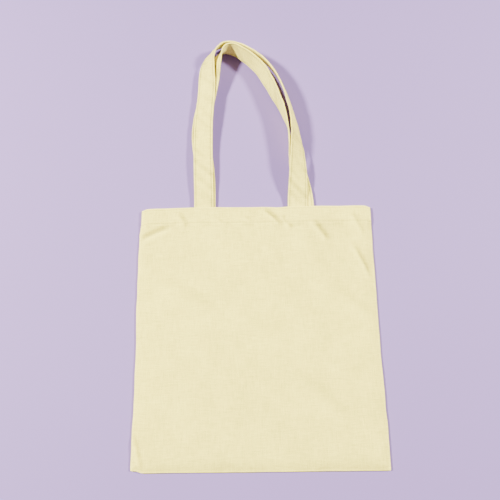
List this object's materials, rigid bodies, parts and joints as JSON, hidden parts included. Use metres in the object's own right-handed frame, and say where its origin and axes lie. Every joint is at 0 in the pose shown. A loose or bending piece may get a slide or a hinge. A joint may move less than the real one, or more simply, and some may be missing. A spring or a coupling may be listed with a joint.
{
  "type": "canvas tote bag",
  "caption": "Flat rectangular bag of natural cotton canvas with an open hemmed mouth and two long self-fabric shoulder handles.",
  "frame": {"origin": "centre of the back panel's outer face, the face the bag lies on", "axes": "+X across the bag to the right seen from the front, +Y from the bottom seam to the mouth and handles, +Z from the back panel to the front panel"},
  "size_m": [0.38, 0.7149, 0.0379],
  "materials": {
    "canvas": "matt plain-weave natural cotton canvas",
    "handle_canvas": "matt natural cotton canvas, four layers pressed and edge stitched",
    "thread": "matt cotton sewing thread, cream"
  },
  "bodies": {
    "back": {"back_panel": "canvas", "left_seam_thread": "thread", "right_seam_thread": "thread", "bottom_seam_thread": "thread", "left_overlock_thread": "thread", "right_overlock_thread": "thread", "bottom_overlock_thread": "thread", "back_hem_thread": "thread", "back_mouth_thread": "thread", "back_handle_left_end": "handle_canvas", "back_handle_right_end": "handle_canvas"},
    "front": {"front_panel": "canvas", "front_hem_thread": "thread", "front_mouth_thread": "thread", "front_handle_left_end": "handle_canvas", "front_handle_right_end": "handle_canvas"},
    "front_handle": {"front_handle": "handle_canvas", "front_handle_outer_thread": "thread", "front_handle_inner_thread": "thread"},
    "back_handle": {"back_handle": "handle_canvas", "back_handle_outer_thread": "thread", "back_handle_inner_thread": "thread"}
  },
  "joints": [
    {"name": "mouth_open", "type": "hinge", "parent": "back", "child": "front", "pos_m": [0, -0.203, 0.0021], "axis": [1, 0, 0], "range_deg": [0, 6]},
    {"name": "front_handle_swing", "type": "hinge", "parent": "front", "child": "front_handle", "pos_m": [0, 0.203, 0.0086], "axis": [1, 0, 0], "range_deg": [0, 150]},
    {"name": "back_handle_swing", "type": "hinge", "parent": "back", "child": "back_handle", "pos_m": [0, 0.203, 0.0005], "axis": [1, 0, 0], "range_deg": [-150, 0]}
  ]
}
